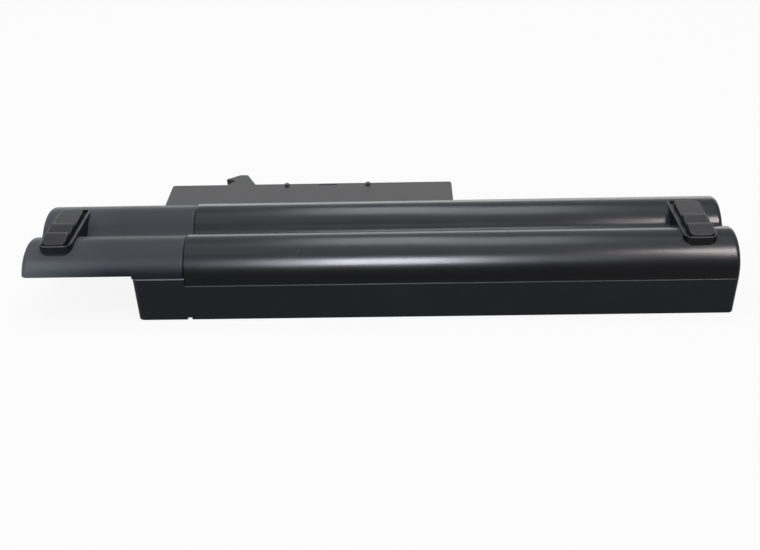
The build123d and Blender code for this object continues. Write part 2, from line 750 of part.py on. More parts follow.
first_gap = first_cell_x + CELL_L
second_gap = first_gap + cell_step
last_end = first_cell_x + stack
parts = {
    "base_tray": base_tray(),
    "cell_cover": cell_cover(),
    "wing_cover": wing_cover(),
    "wing_floor": wing_floor(),
    "tongue_plate": tongue_plate(),
    "foot_pad_left": foot_pad(left_foot_x - pad_offset),
    "foot_pad_right": foot_pad(right_foot_x + pad_offset),
    "circuit_board": circuit_board(),
    "connector_housing": connector_housing(),
    "contact_blades": Compound(contact_blades()),
    "gauge_chip": gauge_chip(),
    "mosfet_1": mosfet(0),
    "mosfet_2": mosfet(1),
    "cutoff_fuse": cutoff_fuse(),
    "sense_resistor": sense_resistor(),
    "board_capacitors": Compound(board_capacitors()),
    "thermistor": thermistor(),
    "thermistor_lead": thermistor_lead(),
    "strip_negative": end_strip(first_cell_x - STRIP_T),
    "strip_low_tap": folded_strip(first_gap),
    "strip_high_tap": folded_strip(second_gap),
    "strip_positive": end_strip(last_end),
    "lead_negative": power_lead(first_cell_x, window_left + NEGATIVE_EXIT_INSET),
    "lead_low_tap": sense_lead(first_gap + CELL_GAP, low_tap_exit),
    "lead_high_tap": sense_lead(second_gap + CELL_GAP - STRIP_T, high_tap_exit),
    "lead_positive": power_lead(last_end, positive_exit),
}
for number, (x, y) in enumerate(cell_places(), 1):
    parts[f"cell_{number}"] = cell(x, y)
    parts[f"cell_washer_{number}"] = washer(x, y)

os.makedirs("parts", exist_ok=True)
for name, solid in parts.items():
    export_step(solid, f"parts/{name}.step")
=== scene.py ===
import math

import bpy
from mathutils import Matrix, Vector


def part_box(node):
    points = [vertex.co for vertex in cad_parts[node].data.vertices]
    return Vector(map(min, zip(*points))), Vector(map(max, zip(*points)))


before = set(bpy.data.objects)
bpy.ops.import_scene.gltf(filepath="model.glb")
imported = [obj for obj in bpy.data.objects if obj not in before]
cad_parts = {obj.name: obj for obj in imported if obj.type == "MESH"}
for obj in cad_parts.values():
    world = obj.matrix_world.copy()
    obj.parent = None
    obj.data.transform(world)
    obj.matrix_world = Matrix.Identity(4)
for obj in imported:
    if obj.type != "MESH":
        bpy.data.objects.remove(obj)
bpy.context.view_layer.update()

# Cells: six cylindrical lithium-ion cells in two rows of three, deep-drawn steel cans
# crimped shut at the positive end. A shrunk-on sleeve covers each can, not its end faces.


def linear(hex_colour):
    """sRGB hex to the linear colour that shaders take."""
    channels = [int(hex_colour[i:i + 2], 16) / 255 for i in (1, 3, 5)]
    return [c / 12.92 if c <= 0.04045 else ((c + 0.055) / 1.055) ** 2.4 for c in channels] + [1.0]


def per_mm(width):
    """Texture scale at which one step of a pattern is so many millimetres wide."""
    return 1000 / width


def add_node(tree, kind, settings=(), inputs=()):
    """Adds a node, sets its properties, and sets or links its inputs."""
    node = tree.nodes.new(kind)
    for name, value in dict(settings).items():
        setattr(node, name, value)
    for name, value in dict(inputs).items():
        if isinstance(value, bpy.types.NodeSocket):
            tree.links.new(value, node.inputs[name])
        else:
            node.inputs[name].default_value = value
    return node


# A Mix node holds sockets for several kinds of data: these are its two colours in and one out
MIX_A = 6
MIX_B = 7
MIX_OUT = 2


def new_material(name):
    """A material with an empty tree, its shader on the output, and the place on the part."""
    material = bpy.data.materials.new(name)
    material.use_nodes = True
    tree = material.node_tree
    tree.nodes.clear()
    shader = tree.nodes.new("ShaderNodeBsdfPrincipled")
    add_node(tree, "ShaderNodeOutputMaterial", inputs={"Surface": shader.outputs["BSDF"]})
    place = add_node(tree, "ShaderNodeTexCoord").outputs["Object"]
    return material, tree, shader, place


def dress(material, *names):
    """Gives CAD nodes their one material."""
    for name in names:
        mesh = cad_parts[name].data
        mesh.materials.clear()
        mesh.materials.append(material)


# Shrunk PVC: a satin teal film with faint stretch lines along the can. Where the surface
# looks along the row it is the can's own end, bare nickel-plated steel.
STRETCH_LINE_MM = 1.2
sleeve, tree, shader, place = new_material("shrunk_pvc_sleeve")
along = add_node(tree, "ShaderNodeMapping", inputs={"Vector": place, "Scale": (0.08, 1.0, 1.0)})
lines = add_node(tree, "ShaderNodeTexNoise", inputs={
    "Vector": along.outputs["Vector"], "Scale": per_mm(STRETCH_LINE_MM), "Detail": 2.0})
film = add_node(tree, "ShaderNodeMix", {"data_type": "RGBA"}, {
    "Factor": lines.outputs["Fac"], MIX_A: linear("#63939f"), MIX_B: linear("#72a6b3")})
facing = add_node(tree, "ShaderNodeSeparateXYZ", inputs={
    "Vector": add_node(tree, "ShaderNodeNewGeometry").outputs["Normal"]})
lengthwise = add_node(tree, "ShaderNodeMath", {"operation": "ABSOLUTE"}, {0: facing.outputs["X"]})
bare = add_node(tree, "ShaderNodeMapRange", inputs={
    "Value": lengthwise.outputs["Value"], "From Min": 0.75, "From Max": 0.8})
colour = add_node(tree, "ShaderNodeMix", {"data_type": "RGBA"}, {
    "Factor": bare.outputs["Result"], MIX_A: film.outputs[MIX_OUT], MIX_B: linear("#c9c5bb")})
gloss = add_node(tree, "ShaderNodeMapRange", inputs={
    "Value": lines.outputs["Fac"], "To Min": 0.26, "To Max": 0.40})
relief = add_node(tree, "ShaderNodeBump", inputs={
    "Height": lines.outputs["Fac"], "Strength": 0.4, "Distance": 0.00004})
tree.links.new(colour.outputs[MIX_OUT], shader.inputs["Base Color"])
tree.links.new(bare.outputs["Result"], shader.inputs["Metallic"])
tree.links.new(gloss.outputs["Result"], shader.inputs["Roughness"])
tree.links.new(relief.outputs["Normal"], shader.inputs["Normal"])
dress(sleeve, "cell_1", "cell_2", "cell_3", "cell_4", "cell_5", "cell_6")

# Paper washers: die-cut rings of pale fish paper on the shoulders round the buttons,
# stuck down so that the strip across the row can't touch the can.

# Fish paper: pressed rag fibres, dead matt, with a felted fleck under half a millimetre
FIBRE_MM = 0.4
fish_paper, tree, shader, place = new_material("pressed_fish_paper")
fibres = add_node(tree, "ShaderNodeTexNoise", inputs={
    "Vector": place, "Scale": per_mm(FIBRE_MM), "Detail": 4.0, "Distortion": 1.5})
colour = add_node(tree, "ShaderNodeMix", {"data_type": "RGBA"}, {
    "Factor": fibres.outputs["Fac"], MIX_A: linear("#e3dfd2"), MIX_B: linear("#f6f3ea")})
gloss = add_node(tree, "ShaderNodeMapRange", inputs={
    "Value": fibres.outputs["Fac"], "To Min": 0.8, "To Max": 0.95})
relief = add_node(tree, "ShaderNodeBump", inputs={
    "Height": fibres.outputs["Fac"], "Strength": 0.6, "Distance": 0.00003})
tree.links.new(colour.outputs[MIX_OUT], shader.inputs["Base Color"])
tree.links.new(gloss.outputs["Result"], shader.inputs["Roughness"])
tree.links.new(relief.outputs["Normal"], shader.inputs["Normal"])
dress(fish_paper, *[f"cell_washer_{number}" for number in range(1, 7)])

# Nickel strips: bright rolled strip, stamped, folded between the columns of cells and
# spot-welded to the buttons and the cans' ends, with a tab down to each lead.

# Rolled nickel: a warm grey metal whose rolling marks run across the rows, with shallow
# pits from the welding electrodes
ROLLING_MM = 0.25
WELD_PIT_MM = 2.5
nickel, tree, shader, place = new_material("rolled_nickel")
across = add_node(tree, "ShaderNodeMapping", inputs={"Vector": place, "Scale": (1.0, 0.04, 1.0)})
marks = add_node(tree, "ShaderNodeTexNoise", inputs={
    "Vector": across.outputs["Vector"], "Scale": per_mm(ROLLING_MM), "Detail": 2.0})
pits = add_node(tree, "ShaderNodeTexVoronoi", inputs={"Vector": place, "Scale": per_mm(WELD_PIT_MM)})
dents = add_node(tree, "ShaderNodeMapRange", inputs={
    "Value": pits.outputs["Distance"], "From Min": 0.1, "From Max": 0.25})
height = add_node(tree, "ShaderNodeMath", {"operation": "MULTIPLY_ADD"}, {
    0: marks.outputs["Fac"], 1: 0.15, 2: dents.outputs["Result"]})
colour = add_node(tree, "ShaderNodeMix", {"data_type": "RGBA"}, {
    "Factor": dents.outputs["Result"], MIX_A: linear("#a59d90"), MIX_B: linear("#d3d0c8")})
gloss = add_node(tree, "ShaderNodeMapRange", inputs={
    "Value": marks.outputs["Fac"], "To Min": 0.25, "To Max": 0.45})
relief = add_node(tree, "ShaderNodeBump", inputs={
    "Height": height.outputs["Value"], "Strength": 0.5, "Distance": 0.00005})
shader.inputs["Metallic"].default_value = 1.0
tree.links.new(colour.outputs[MIX_OUT], shader.inputs["Base Color"])
tree.links.new(gloss.outputs["Result"], shader.inputs["Roughness"])
tree.links.new(relief.outputs["Normal"], shader.inputs["Normal"])
dress(nickel, "strip_negative", "strip_low_tap", "strip_high_tap", "strip_positive")

# Leads: stranded wires in extruded insulation, black and red for the current, white for
# the two taps and the temperature bead, laid along the far wall and out through its window.


def moulded(name, dark, light, roughness, specular, grain_mm, relief_mm, cloud_mm):
    """A plastic skin: fine grain of a real width and height, with tone and gloss in soft clouds."""
    material, tree, shader, place = new_material(name)
    grain = add_node(tree, "ShaderNodeTexNoise", inputs={
        "Vector": place, "Scale": per_mm(grain_mm), "Detail": 3.0})
    clouds = add_node(tree, "ShaderNodeTexNoise", inputs={
        "Vector": place, "Scale": per_mm(cloud_mm), "Detail": 2.0})
    tones = add_node(tree, "ShaderNodeMix", {"data_type": "RGBA"}, {
        "Factor": clouds.outputs["Fac"], MIX_A: linear(dark), MIX_B: linear(light)})
    gloss = add_node(tree, "ShaderNodeMapRange", inputs={
        "Value": clouds.outputs["Fac"], "To Min": roughness - 0.05, "To Max": roughness + 0.05})
    relief = add_node(tree, "ShaderNodeBump", inputs={
        "Height": grain.outputs["Fac"], "Distance": relief_mm / 1000})
    tree.links.new(tones.outputs[MIX_OUT], shader.inputs["Base Color"])
    tree.links.new(gloss.outputs["Result"], shader.inputs["Roughness"])
    tree.links.new(relief.outputs["Normal"], shader.inputs["Normal"])
    shader.inputs["Specular IOR Level"].default_value = specular
    return material, tree, shader, place


# Extruded PVC: smooth and satin, with a faint drag grain from the die
DRAG_MM = 0.3
black_pvc = moulded(
    "extruded_black_pvc", "#2c2c2d", "#343435",
    roughness=0.38, specular=0.5, grain_mm=DRAG_MM, relief_mm=0.01, cloud_mm=6.0)[0]
dress(black_pvc, "lead_negative")
red_pvc = moulded(
    "extruded_red_pvc", "#c93a33", "#d6453c",
    roughness=0.38, specular=0.5, grain_mm=DRAG_MM, relief_mm=0.01, cloud_mm=6.0)[0]
dress(red_pvc, "lead_positive")
white_pvc = moulded(
    "extruded_white_pvc", "#e2e1dc", "#ecebe6",
    roughness=0.38, specular=0.5, grain_mm=DRAG_MM, relief_mm=0.01, cloud_mm=6.0)[0]
dress(white_pvc, "lead_low_tap", "lead_high_tap", "thermistor_lead")

# Circuit board: one millimetre of glass-epoxy laminate pushed over four posts in the tongue.
# The solder mask is green, with wide copper runs under it.

# Solder mask on laminate: glossy green, lighter in blocks where copper lies under it; the
# sawn edges show the pale glass cloth
RUN_MM = 3.5
mask_green, tree, shader, place = new_material("solder_mask_on_laminate")
runs = add_node(tree, "ShaderNodeTexVoronoi", {"distance": "CHEBYCHEV", "feature": "F2"}, {
    "Vector": place, "Scale": per_mm(RUN_MM)})
copper = add_node(tree, "ShaderNodeMapRange", inputs={
    "Value": runs.outputs["Distance"], "From Min": 0.52, "From Max": 0.56})
green = add_node(tree, "ShaderNodeMix", {"data_type": "RGBA"}, {
    "Factor": copper.outputs["Result"], MIX_A: linear("#1f6b3d"), MIX_B: linear("#348a52")})
facing = add_node(tree, "ShaderNodeSeparateXYZ", inputs={
    "Vector": add_node(tree, "ShaderNodeNewGeometry").outputs["Normal"]})
flat = add_node(tree, "ShaderNodeMath", {"operation": "ABSOLUTE"}, {0: facing.outputs["Z"]})
colour = add_node(tree, "ShaderNodeMix", {"data_type": "RGBA"}, {
    "Factor": flat.outputs["Value"], MIX_A: linear("#c8bd8c"), MIX_B: green.outputs[MIX_OUT]})
gloss = add_node(tree, "ShaderNodeMapRange", inputs={
    "Value": runs.outputs["Distance"], "To Min": 0.25, "To Max": 0.35})
relief = add_node(tree, "ShaderNodeBump", inputs={
    "Height": copper.outputs["Result"], "Strength": 0.8, "Distance": 0.00004})
tree.links.new(colour.outputs[MIX_OUT], shader.inputs["Base Color"])
tree.links.new(gloss.outputs["Result"], shader.inputs["Roughness"])
tree.links.new(relief.outputs["Normal"], shader.inputs["Normal"])
dress(mask_green, "circuit_board")

# Parts on the board: fuel gauge, two switches, fuse and sense resistor in moulded epoxy,
# soldered down by tinned legs and ends, and the temperature bead dipped in the same epoxy.

# Moulded epoxy: charcoal and nearly matt from its silica filler; the lowest third of a
# millimetre over the board is tinned legs and solder
FILLER_MM = 0.15
LEG_MM = 0.32
BOARD_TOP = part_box("circuit_board")[1].z
epoxy, tree, shader, place = moulded(
    "moulded_epoxy", "#2e2e30", "#353537",
    roughness=0.6, specular=0.4, grain_mm=FILLER_MM, relief_mm=0.01, cloud_mm=2.0)
where = add_node(tree, "ShaderNodeSeparateXYZ", inputs={"Vector": place})
tinned = add_node(tree, "ShaderNodeMath", {"operation": "LESS_THAN"}, {
    0: where.outputs["Z"], 1: BOARD_TOP + LEG_MM / 1000})
colour = add_node(tree, "ShaderNodeMix", {"data_type": "RGBA"}, {
    "Factor": tinned.outputs["Value"],
    MIX_A: shader.inputs["Base Color"].links[0].from_socket, MIX_B: linear("#c4c4c2")})
tree.links.new(colour.outputs[MIX_OUT], shader.inputs["Base Color"])
tree.links.new(tinned.outputs["Value"], shader.inputs["Metallic"])
dress(epoxy, "gauge_chip", "mosfet_1", "mosfet_2", "cutoff_fuse", "sense_resistor")
bead_epoxy = moulded(
    "dipped_epoxy", "#262628", "#303032",
    roughness=0.3, specular=0.5, grain_mm=0.5, relief_mm=0.02, cloud_mm=1.5)[0]
dress(bead_epoxy, "thermistor")

# Capacitors: five small bricks of fired ceramic, tan, with a tinned cap at each end,
# soldered in a row beside the chips.

# Fired ceramic: tan and slightly waxy, specked by its grain
CAP_END_MM = 0.35
cap_low, cap_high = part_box("board_capacitors")
ceramic, tree, shader, place = moulded(
    "fired_ceramic", "#b8935f", "#c7a472",
    roughness=0.35, specular=0.5, grain_mm=0.12, relief_mm=0.005, cloud_mm=0.8)
where = add_node(tree, "ShaderNodeSeparateXYZ", inputs={"Vector": place})
from_middle = add_node(tree, "ShaderNodeMath", {"operation": "SUBTRACT"}, {
    0: where.outputs["Y"], 1: (cap_low.y + cap_high.y) / 2})
outwards = add_node(tree, "ShaderNodeMath", {"operation": "ABSOLUTE"}, {0: from_middle.outputs["Value"]})
capped = add_node(tree, "ShaderNodeMath", {"operation": "GREATER_THAN"}, {
    0: outwards.outputs["Value"], 1: (cap_high.y - cap_low.y) / 2 - CAP_END_MM / 1000})
colour = add_node(tree, "ShaderNodeMix", {"data_type": "RGBA"}, {
    "Factor": capped.outputs["Value"],
    MIX_A: shader.inputs["Base Color"].links[0].from_socket, MIX_B: linear("#c9c9c6")})
tree.links.new(colour.outputs[MIX_OUT], shader.inputs["Base Color"])
tree.links.new(capped.outputs["Value"], shader.inputs["Metallic"])
dress(ceramic, "board_capacitors")

# Connector: a nylon block in the tongue's far edge, with seven stamped blades that slide
# between the laptop's spring contacts.

# Glass-filled nylon: black, dull, with short fibres that show as flow streaks
FLOW_MM = 0.2
nylon = moulded(
    "moulded_glass_nylon", "#242426", "#2b2b2d",
    roughness=0.6, specular=0.35, grain_mm=FLOW_MM, relief_mm=0.02, cloud_mm=3.0)[0]
dress(nylon, "connector_housing")

# Gold flash over bronze: a thin plating, bright, with rub marks along the blade
RUB_MM = 0.15
gold, tree, shader, place = new_material("gold_flashed_bronze")
along = add_node(tree, "ShaderNodeMapping", inputs={"Vector": place, "Scale": (1.0, 0.05, 1.0)})
rubs = add_node(tree, "ShaderNodeTexNoise", inputs={
    "Vector": along.outputs["Vector"], "Scale": per_mm(RUB_MM), "Detail": 2.0})
colour = add_node(tree, "ShaderNodeMix", {"data_type": "RGBA"}, {
    "Factor": rubs.outputs["Fac"], MIX_A: linear("#d8b056"), MIX_B: linear("#efd084")})
gloss = add_node(tree, "ShaderNodeMapRange", inputs={
    "Value": rubs.outputs["Fac"], "To Min": 0.18, "To Max": 0.36})
relief = add_node(tree, "ShaderNodeBump", inputs={
    "Height": rubs.outputs["Fac"], "Strength": 0.3, "Distance": 0.00002})
shader.inputs["Metallic"].default_value = 1.0
tree.links.new(colour.outputs[MIX_OUT], shader.inputs["Base Color"])
tree.links.new(gloss.outputs["Result"], shader.inputs["Roughness"])
tree.links.new(relief.outputs["Normal"], shader.inputs["Normal"])
dress(gold, "contact_blades")

# Base tray: the lower half of the case in one injection moulding, with the cell cradles, the
# taller block under the wing, and the flat tongue with its latch hook and guide pips.


def painted_light_by_facing(tree, steep, level):
    """One on faces that look up, greyer than walls in the photo, down to nought on steep ones: the mask
    for painted light on tops and painted shade on walls.
    """
    facing = add_node(tree, "ShaderNodeSeparateXYZ", inputs={
        "Vector": add_node(tree, "ShaderNodeNewGeometry").outputs["Normal"]})
    upward = add_node(tree, "ShaderNodeMapRange", {"interpolation_type": "SMOOTHSTEP"}, {
        "Value": facing.outputs["Z"], "From Min": steep, "From Max": level})
    return upward.outputs["Result"]


def rounded(tree, shader, edge_mm):
    """Softens the CAD's sharp edges in the shading, as a mould's edges are."""
    edge = add_node(tree, "ShaderNodeBevel", {"samples": 6}, {"Radius": edge_mm / 1000})
    relief = shader.inputs["Normal"].links[0].from_node
    tree.links.new(edge.outputs["Normal"], relief.inputs["Normal"])


# Moulded ABS, satin: black on steep walls as painted shade, and grey on faces that look up as painted
# light: mid grey and rougher on the tongue's top, partly its finish and partly painted light, and paler
# on the rims, most of all at the block, a painted highlight. These tones are fitted to the photo, light
# and all.
SPARK_MM = 0.35
TONGUE_ROUGHER = 0.3
cover_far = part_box("cell_cover")[1].y
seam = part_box("cell_cover")[0].x
tray_abs, tree, shader, place = moulded(
    "moulded_satin_abs", "#04070e", "#060a13",
    roughness=0.45, specular=0.12, grain_mm=SPARK_MM, relief_mm=0.012, cloud_mm=14.0)
rounded(tree, shader, edge_mm=0.3)
where = add_node(tree, "ShaderNodeSeparateXYZ", inputs={"Vector": place})
on_tongue = add_node(tree, "ShaderNodeMath", {"operation": "GREATER_THAN"}, {
    0: where.outputs["Y"], 1: cover_far})
painted_highlight_at_block = add_node(tree, "ShaderNodeMath", {"operation": "LESS_THAN"}, {0: where.outputs["X"], 1: seam})
# Painted highlight: the rims at the block, left of the seam, are paler than the rest
painted_lit_rim = add_node(tree, "ShaderNodeMix", {"data_type": "RGBA"}, {
    "Factor": painted_highlight_at_block.outputs["Value"], MIX_A: linear("#242529"), MIX_B: linear("#64666c")})
painted_lit_tops = add_node(tree, "ShaderNodeMix", {"data_type": "RGBA"}, {
    "Factor": on_tongue.outputs["Value"], MIX_A: painted_lit_rim.outputs[MIX_OUT], MIX_B: linear("#5a5a5b")})
# Painted shade: steep walls are near black, a little less so on the tongue
painted_shade_walls = add_node(tree, "ShaderNodeMix", {"data_type": "RGBA"}, {
    "Factor": on_tongue.outputs["Value"],
    MIX_A: shader.inputs["Base Color"].links[0].from_socket, MIX_B: linear("#3a3a3c")})
# Painted light on faces that look up, painted shade on steep ones
colour = add_node(tree, "ShaderNodeMix", {"data_type": "RGBA"}, {
    "Factor": painted_light_by_facing(tree, steep=0.3, level=0.8),
    MIX_A: painted_shade_walls.outputs[MIX_OUT], MIX_B: painted_lit_tops.outputs[MIX_OUT]})
rougher = add_node(tree, "ShaderNodeMath", {"operation": "MULTIPLY_ADD"}, {
    0: on_tongue.outputs["Value"], 1: TONGUE_ROUGHER, 2: shader.inputs["Roughness"].links[0].from_socket})
tree.links.new(colour.outputs[MIX_OUT], shader.inputs["Base Color"])
tree.links.new(rougher.outputs["Value"], shader.inputs["Roughness"])
dress(tray_abs, "base_tray")

# Tongue plate and wing floor: flat closing plates from the same black ABS, snapped in
# from below to shut the board's space and the hollow of the wing.

# Moulded ABS, matt: an even spark-eroded grain all over
plate_abs = moulded(
    "moulded_matt_abs", "#1c1d1f", "#222326",
    roughness=0.55, specular=0.3, grain_mm=SPARK_MM, relief_mm=0.02, cloud_mm=14.0)[0]
dress(plate_abs, "tongue_plate", "wing_floor")

# Wing cover: the shorter half-round cover over the block, run out past it as a shallow wing,
# moulded in one with the left foot's plinth and butted against the cell cover.

POCKET_END_MM = 0.9


def pocket_shade_mask(tree, place, pad, left_groove, right_groove):
    """One over the pocket round a pad, in millimetres of open groove left and right of it; it masks the
    painted shade in that groove.
    """
    low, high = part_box(pad)
    x0 = low.x - left_groove / 1000
    x1 = high.x + right_groove / 1000
    where = add_node(tree, "ShaderNodeSeparateXYZ", inputs={"Vector": place})
    along = add_node(tree, "ShaderNodeMath", {"operation": "COMPARE"}, {
        0: where.outputs["X"], 1: (x0 + x1) / 2, 2: (x1 - x0) / 2})
    across = add_node(tree, "ShaderNodeMath", {"operation": "COMPARE"}, {
        0: where.outputs["Y"], 1: (low.y + high.y) / 2, 2: (high.y - low.y) / 2 + POCKET_END_MM / 1000})
    both = add_node(tree, "ShaderNodeMath", {"operation": "MULTIPLY"}, {
        0: along.outputs["Value"], 1: across.outputs["Value"]})
    return both.outputs["Value"]


# Moulded ABS, grained: grey and soft on top as painted light, dark on steep walls and in the foot's
# pocket as painted shade, and paler towards the open end, on top and on the near side, as painted
# light, a tone fitted to the photo. It is measured in from the open end, and on the near side also
# down from the pad's seat.
GROOVE_MM = 1.5
SNUG_MM = 0.1
PALE_START_MM = 29.9
PALE_FULL_MM = 1.9
SIDE_START_MM = 0.9
SIDE_FULL_MM = 2.9
open_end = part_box("wing_cover")[0].x
pad_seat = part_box("foot_pad_left")[0].z
near_low, near_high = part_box("cell_1")
near_axis = (near_low + near_high) / 2
wing_abs, tree, shader, place = moulded(
    "moulded_grained_abs", "#20232c", "#252832",
    roughness=0.38, specular=0.04, grain_mm=SPARK_MM, relief_mm=0.012, cloud_mm=10.0)
rounded(tree, shader, edge_mm=0.4)
where = add_node(tree, "ShaderNodeSeparateXYZ", inputs={"Vector": place})
# Painted light: paler towards the open end
painted_end_light = add_node(tree, "ShaderNodeMapRange", inputs={
    "Value": where.outputs["X"],
    "From Min": open_end + PALE_START_MM / 1000, "From Max": open_end + PALE_FULL_MM / 1000})
# Painted light on the near side, down from the pad's seat
below_feet = add_node(tree, "ShaderNodeMapRange", inputs={
    "Value": where.outputs["Z"],
    "From Min": pad_seat - SIDE_START_MM / 1000, "From Max": pad_seat - SIDE_FULL_MM / 1000})
in_front = add_node(tree, "ShaderNodeMath", {"operation": "LESS_THAN"}, {
    0: where.outputs["Y"], 1: near_axis.y})
painted_side_light = add_node(tree, "ShaderNodeMath", {"operation": "MULTIPLY"}, {
    0: below_feet.outputs["Result"], 1: in_front.outputs["Value"]})
painted_side_light = add_node(tree, "ShaderNodeMath", {"operation": "MULTIPLY"}, {
    0: painted_side_light.outputs["Value"], 1: painted_end_light.outputs["Result"]})
tops = add_node(tree, "ShaderNodeMix", {"data_type": "RGBA"}, {
    "Factor": painted_end_light.outputs["Result"], MIX_A: linear("#494c51"), MIX_B: linear("#575b60")})
sides = add_node(tree, "ShaderNodeMix", {"data_type": "RGBA"}, {
    "Factor": painted_side_light.outputs["Value"],
    MIX_A: shader.inputs["Base Color"].links[0].from_socket, MIX_B: linear("#666a70")})
# Painted light on faces that look up, painted shade on steep ones
colour = add_node(tree, "ShaderNodeMix", {"data_type": "RGBA"}, {
    "Factor": painted_light_by_facing(tree, steep=0.2, level=0.8),
    MIX_A: sides.outputs[MIX_OUT], MIX_B: tops.outputs[MIX_OUT]})
# Painted shade in the groove round the left pad
colour = add_node(tree, "ShaderNodeMix", {"data_type": "RGBA"}, {
    "Factor": pocket_shade_mask(tree, place, "foot_pad_left", SNUG_MM, GROOVE_MM),
    MIX_A: colour.outputs[MIX_OUT], MIX_B: linear("#08090b")})
tree.links.new(colour.outputs[MIX_OUT], shader.inputs["Base Color"])
dress(wing_abs, "wing_cover")

# Cell cover: the long glossy half-round cover over both rows of cells, moulded from a polished
# tool with the right foot's plinth, and welded down on the ridge along the tray's rim.

# Moulded ABS, polished: near black with sharp long reflections, wavy with a faint orange peel about
# 1.5 mm wide, and greyer on top as painted light, save in the foot's pocket, painted shade, as fitted to
# the photo
PEEL_MM = 1.5
gloss_abs, tree, shader, place = moulded(
    "moulded_polished_abs", "#06070a", "#08090d",
    roughness=0.25, specular=0.12, grain_mm=PEEL_MM, relief_mm=0.0015, cloud_mm=18.0)
rounded(tree, shader, edge_mm=0.3)
# Painted light greys the faces that look up; steep faces stay near black
colour = add_node(tree, "ShaderNodeMix", {"data_type": "RGBA"}, {
    "Factor": painted_light_by_facing(tree, steep=0.3, level=0.8),
    MIX_A: shader.inputs["Base Color"].links[0].from_socket, MIX_B: linear("#292b31")})
# Painted shade in the groove round the right pad
colour = add_node(tree, "ShaderNodeMix", {"data_type": "RGBA"}, {
    "Factor": pocket_shade_mask(tree, place, "foot_pad_right", GROOVE_MM, SNUG_MM),
    MIX_A: colour.outputs[MIX_OUT], MIX_B: linear("#060708")})
tree.links.new(colour.outputs[MIX_OUT], shader.inputs["Base Color"])
dress(gloss_abs, "cell_cover")

# Foot pads: two toothed pads of moulded rubber, glued into the plinths' recesses, that
# the laptop stands on.

# Moulded rubber: dark grey and satin, greyer on top as painted light, with a painted highlight along the
# two teeth's ridges and painted shade at the root behind each ridge. Places along a tooth are shares of
# it, counted from its front.
BLOOM_MM = 0.5
TOOTH_MM = 6.6
TEETH = 2
ROOT_FULL = 0.3
ROOT_END = 0.6
RIDGE_START = 0.8
RIDGE_FULL = 0.92
LAST_ROOT_END = TEETH + 0.4
PAD_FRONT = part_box("foot_pad_left")[0].y
rubber, tree, shader, place = moulded(
    "moulded_rubber", "#16171a", "#1c1d20",
    roughness=0.42, specular=0.16, grain_mm=BLOOM_MM, relief_mm=0.02, cloud_mm=3.0)
rounded(tree, shader, edge_mm=0.4)
where = add_node(tree, "ShaderNodeSeparateXYZ", inputs={"Vector": place})
teeth = add_node(tree, "ShaderNodeMapRange", {"clamp": False}, {
    "Value": where.outputs["Y"], "From Min": PAD_FRONT, "From Max": PAD_FRONT + TOOTH_MM / 1000})
climb = add_node(tree, "ShaderNodeMath", {"operation": "FRACT"}, {0: teeth.outputs["Result"]})
# Painted highlight along each tooth's ridge
ridge = add_node(tree, "ShaderNodeMapRange", inputs={
    "Value": climb.outputs["Value"], "From Min": RIDGE_START, "From Max": RIDGE_FULL})
# Painted shade at the root behind each ridge
root = add_node(tree, "ShaderNodeMapRange", inputs={
    "Value": climb.outputs["Value"], "From Min": ROOT_END, "From Max": ROOT_FULL})
toothed = add_node(tree, "ShaderNodeMath", {"operation": "COMPARE"}, {
    0: teeth.outputs["Result"], 1: TEETH / 2, 2: TEETH / 2})
painted_ridge_highlight = add_node(tree, "ShaderNodeMath", {"operation": "MULTIPLY"}, {
    0: ridge.outputs["Result"], 1: toothed.outputs["Value"]})
behind = add_node(tree, "ShaderNodeMath", {"operation": "COMPARE"}, {
    0: teeth.outputs["Result"],
    1: (LAST_ROOT_END + RIDGE_START) / 2, 2: (LAST_ROOT_END - RIDGE_START) / 2})
painted_root_shade = add_node(tree, "ShaderNodeMath", {"operation": "MULTIPLY"}, {
    0: root.outputs["Result"], 1: behind.outputs["Value"]})
painted_lit_tops = add_node(tree, "ShaderNodeMix", {"data_type": "RGBA"}, {
    "Factor": painted_ridge_highlight.outputs["Value"], MIX_A: linear("#242427"), MIX_B: linear("#48484b")})
painted_lit_tops = add_node(tree, "ShaderNodeMix", {"data_type": "RGBA"}, {
    "Factor": painted_root_shade.outputs["Value"], MIX_A: painted_lit_tops.outputs[MIX_OUT], MIX_B: linear("#1d1e20")})
# Painted light on the pad's top, painted shade on its steep sides
colour = add_node(tree, "ShaderNodeMix", {"data_type": "RGBA"}, {
    "Factor": painted_light_by_facing(tree, steep=0.3, level=0.9),
    MIX_A: shader.inputs["Base Color"].links[0].from_socket, MIX_B: painted_lit_tops.outputs[MIX_OUT]})
tree.links.new(colour.outputs[MIX_OUT], shader.inputs["Base Color"])
dress(rubber, "foot_pad_left", "foot_pad_right")

# Stage: a white paper sweep, white to the camera, that keeps the battery's own faint shadow,
# an even light from above, and lamps whose shine makes the long streaks on the barrels.
FLOOR_HALF = 3.0
corners = [(-FLOOR_HALF, -FLOOR_HALF, 0), (FLOOR_HALF, -FLOOR_HALF, 0),
           (FLOOR_HALF, FLOOR_HALF, 0), (-FLOOR_HALF, FLOOR_HALF, 0)]
floor_mesh = bpy.data.meshes.new("floor")
floor_mesh.from_pydata(corners, [], [(0, 1, 2, 3)])
floor = bpy.data.objects.new("floor", floor_mesh)
bpy.context.scene.collection.objects.link(floor)


def seen_as_background(tree):
    """One for rays that show the background itself, nought for the light it throws."""
    path = add_node(tree, "ShaderNodeLightPath")
    seen = add_node(tree, "ShaderNodeMath", {"operation": "ADD"}, {
        0: path.outputs["Is Camera Ray"], 1: path.outputs["Is Glossy Ray"]})
    seen = add_node(tree, "ShaderNodeMath", {"operation": "ADD", "use_clamp": True}, {
        0: seen.outputs["Value"], 1: path.outputs["Is Transmission Ray"]})
    return seen.outputs["Value"]


